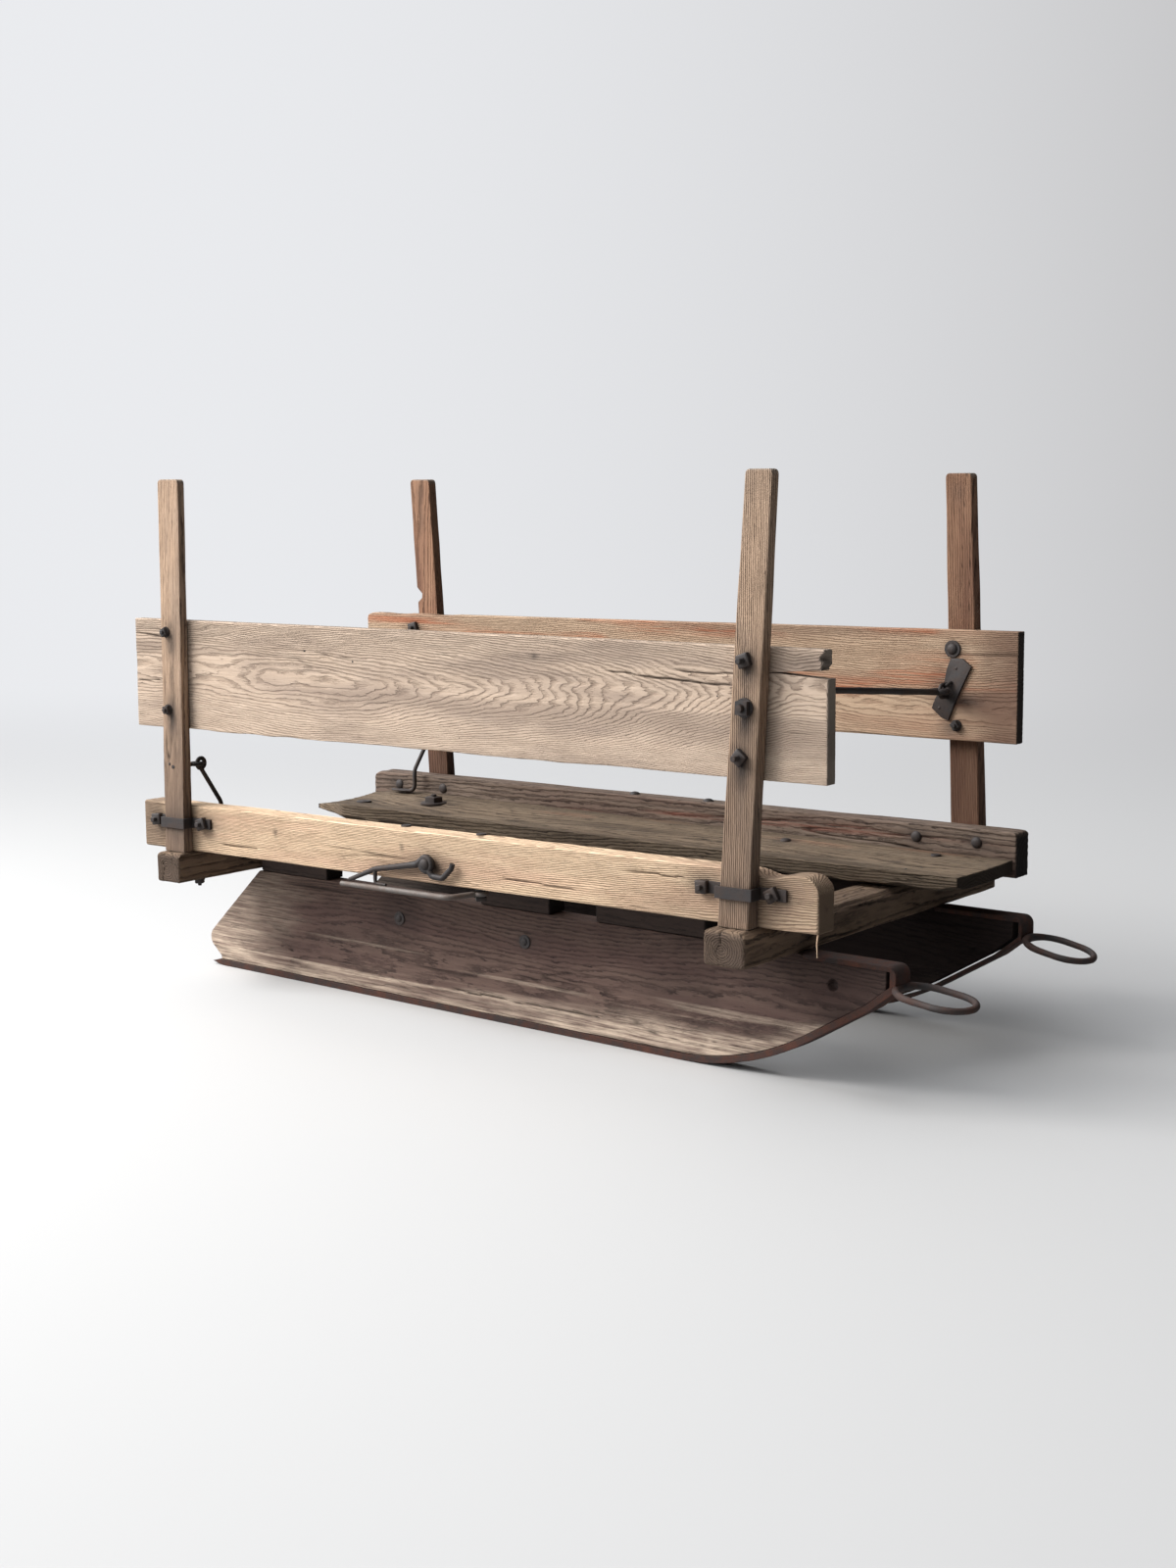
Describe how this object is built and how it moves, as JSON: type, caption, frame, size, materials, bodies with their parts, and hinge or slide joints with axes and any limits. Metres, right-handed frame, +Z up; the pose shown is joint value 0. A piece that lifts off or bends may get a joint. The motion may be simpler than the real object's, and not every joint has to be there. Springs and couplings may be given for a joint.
{
  "type": "wooden sled",
  "caption": "Low wooden freight sled: iron-shod runners with draft rings, cross beams, side rails and side boards held by upright stakes.",
  "frame": {"origin": "centre of the overall box in plan, on the floor under the runner shoes", "axes": "+X forward along the runners to their upturned noses, +Y to the sled's left, +Z up"},
  "size_m": [1.8124, 0.9324, 1.0143],
  "materials": {
    "runner_wood": "weathered purple-brown, worn pale along the lower edge",
    "near_rail_wood": "bare honey-tan timber",
    "far_rail_wood": "deeply grooved grey-tan timber with red paint traces",
    "deck_wood": "weathered olive-grey plank",
    "beam_wood": "dark brown timber with grey end grain",
    "block_wood": "dull olive-brown timber",
    "near_stake_wood": "tan timber stained grey below the bolts",
    "far_stake_wood": "reddish-brown timber",
    "near_board_wood": "pale weathered plank with raised grain",
    "far_board_wood": "warm tan plank with reddish streaks",
    "shoe_iron": "rusty wrought iron bar",
    "ring_iron": "grey iron with light rust",
    "dark_iron": "dark forged iron"
  },
  "bodies": {
    "sled": {"beam_front": "beam_wood", "beam_rear": "beam_wood", "block_front_far": "block_wood", "block_front_near": "block_wood", "block_middle_far": "block_wood", "block_middle_near": "block_wood", "block_rear_far": "block_wood", "block_rear_near": "block_wood", "brace_far": "dark_iron", "brace_near": "dark_iron", "deck_board": "deck_wood", "draft_ring_far": "ring_iron", "draft_ring_near": "ring_iron", "eyebolt_far": "dark_iron", "eyebolt_near": "dark_iron", "latch_pin": "dark_iron", "rail_far": "far_rail_wood", "rail_near": "near_rail_wood", "runner_far": "runner_wood", "runner_near": "runner_wood", "shoe_far": "shoe_iron", "shoe_near": "shoe_iron", "side_board_far": "far_board_wood", "side_board_near": "near_board_wood", "stake_far_front": "far_stake_wood", "stake_far_rear": "far_stake_wood", "stake_near_front": "near_stake_wood", "stake_near_rear": "near_stake_wood", "stake_strap_far_front": "dark_iron", "stake_strap_far_rear": "dark_iron", "stake_strap_near_front": "dark_iron", "stake_strap_near_rear": "dark_iron", "swing_pin": "dark_iron", "tie_nut": "dark_iron", "tie_plate": "dark_iron", "tie_rod": "dark_iron"},
    "latch": {"latch_hook": "dark_iron"},
    "swing": {"swing_bar": "dark_iron"}
  },
  "joints": [
    {"name": "latch_turn", "type": "hinge", "parent": "sled", "child": "latch", "pos_m": [-0.11547, -0.40487, 0.31323], "axis": [-0.0407, 0.9992, -0.0003], "range_deg": [0, 70]},
    {"name": "swing_bar_turn", "type": "hinge", "parent": "sled", "child": "swing", "pos_m": [-0.01655, -0.36832, 0.26592], "axis": [-0.007, 0, 1], "range_deg": [0, 100]}
  ]
}
